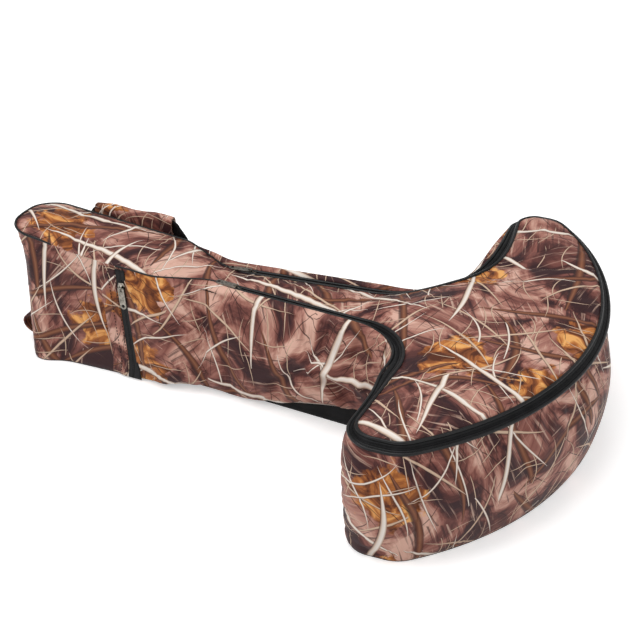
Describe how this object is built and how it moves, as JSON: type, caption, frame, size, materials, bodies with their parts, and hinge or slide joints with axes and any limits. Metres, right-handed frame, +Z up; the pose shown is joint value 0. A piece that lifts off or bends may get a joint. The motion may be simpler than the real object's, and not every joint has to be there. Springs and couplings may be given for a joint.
{
  "type": "crossbow case",
  "caption": "Padded T-shaped soft case for a crossbow with a zipped fold-back lid, a zipped side pocket, a wrapped carry handle and a hanging loop.",
  "frame": {"origin": "on the floor, under the middle of the whole case", "axes": "+X along the stem from the butt end towards the head, +Y towards the handle side, +Z up"},
  "size_m": [0.976, 0.706, 0.227],
  "materials": {
    "camo_cloth": "printed polyester with a slight satin sheen",
    "black_cloth": "plain black woven polyester",
    "lining": "smooth black nylon lining",
    "foam_padding": "closed-cell foam sheet, hidden between cloth and lining",
    "binding": "black woven binding tape",
    "zip_tape": "black woven zip tape with nylon coil",
    "webbing": "black polypropylene webbing",
    "nickel_metal": "nickel-plated zinc casting and steel wire"
  },
  "bodies": {
    "bag": {"base_panel": "black_cloth", "base_foam": "foam_padding", "butt_panel": "camo_cloth", "near_stem_panel": "black_cloth", "far_stem_panel": "camo_cloth", "near_shoulder_panel": "camo_cloth", "far_shoulder_panel": "camo_cloth", "near_tip_panel": "camo_cloth", "far_tip_panel": "camo_cloth", "front_panel": "camo_cloth", "rear_top_panel": "camo_cloth", "butt_foam": "foam_padding", "near_stem_foam": "foam_padding", "far_stem_foam": "foam_padding", "near_shoulder_foam": "foam_padding", "far_shoulder_foam": "foam_padding", "near_tip_foam": "foam_padding", "far_tip_foam": "foam_padding", "front_foam": "foam_padding", "rear_top_foam": "foam_padding", "body_lining": "lining", "rear_top_lining": "lining", "rear_piping": "binding", "rim_binding": "binding", "lower_stringer": "zip_tape", "near_zip_end": "zip_tape", "far_zip_end": "zip_tape", "pocket_panel": "camo_cloth", "pocket_rear_stringer": "zip_tape", "pocket_front_stringer": "zip_tape", "hang_loop": "camo_cloth", "rear_handle_tab": "webbing", "front_handle_tab": "webbing", "rear_handle_ring": "nickel_metal", "front_handle_ring": "nickel_metal"},
    "lid": {"lid_panel": "camo_cloth", "lid_foam": "foam_padding", "lid_lining": "lining", "lid_binding": "binding", "upper_stringer": "zip_tape"},
    "handle": {"handle_webbing": "webbing", "handle_sleeve": "camo_cloth"},
    "near_slider": {"near_slider": "nickel_metal"},
    "near_pull": {"near_pull": "nickel_metal"},
    "far_slider": {"far_slider": "nickel_metal"},
    "far_pull": {"far_pull": "nickel_metal"},
    "pocket_slider": {"pocket_slider": "nickel_metal"},
    "pocket_pull": {"pocket_pull": "nickel_metal"}
  },
  "joints": [
    {"name": "lid_fold", "type": "hinge", "parent": "bag", "child": "lid", "pos_m": [-0.038, 0, 0.186], "axis": [0, -1, 0], "range_deg": [0, 120]},
    {"name": "handle_swing", "type": "hinge", "parent": "bag", "child": "handle", "pos_m": [-0.312, 0.081, 0.161], "axis": [-1, 0, 0], "range_deg": [0, 150]},
    {"name": "near_zip", "type": "slide", "parent": "bag", "child": "near_slider", "axis": [0.9962, -0.0872, 0], "range_m": [0, 0.2]},
    {"name": "near_pull_turn", "type": "hinge", "parent": "near_slider", "child": "near_pull", "pos_m": [-0.08, -0.02718, 0.1894], "axis": [0.0872, 0.9962, 0], "range_deg": [0, 120]},
    {"name": "far_zip", "type": "slide", "parent": "bag", "child": "far_slider", "axis": [0.9962, 0.0872, 0], "range_m": [0, 0.2]},
    {"name": "far_pull_turn", "type": "hinge", "parent": "far_slider", "child": "far_pull", "pos_m": [-0.08, 0.02718, 0.1894], "axis": [-0.0872, 0.9962, 0], "range_deg": [0, 120]},
    {"name": "pocket_zip", "type": "slide", "parent": "bag", "child": "pocket_slider", "axis": [0.0958, 0, -0.9954], "range_m": [0, 0.125]},
    {"name": "pocket_pull_turn", "type": "hinge", "parent": "pocket_slider", "child": "pocket_pull", "pos_m": [-0.2586, -0.073, 0.1689], "axis": [-0.9954, 0, -0.0958], "range_deg": [0, 165]}
  ]
}
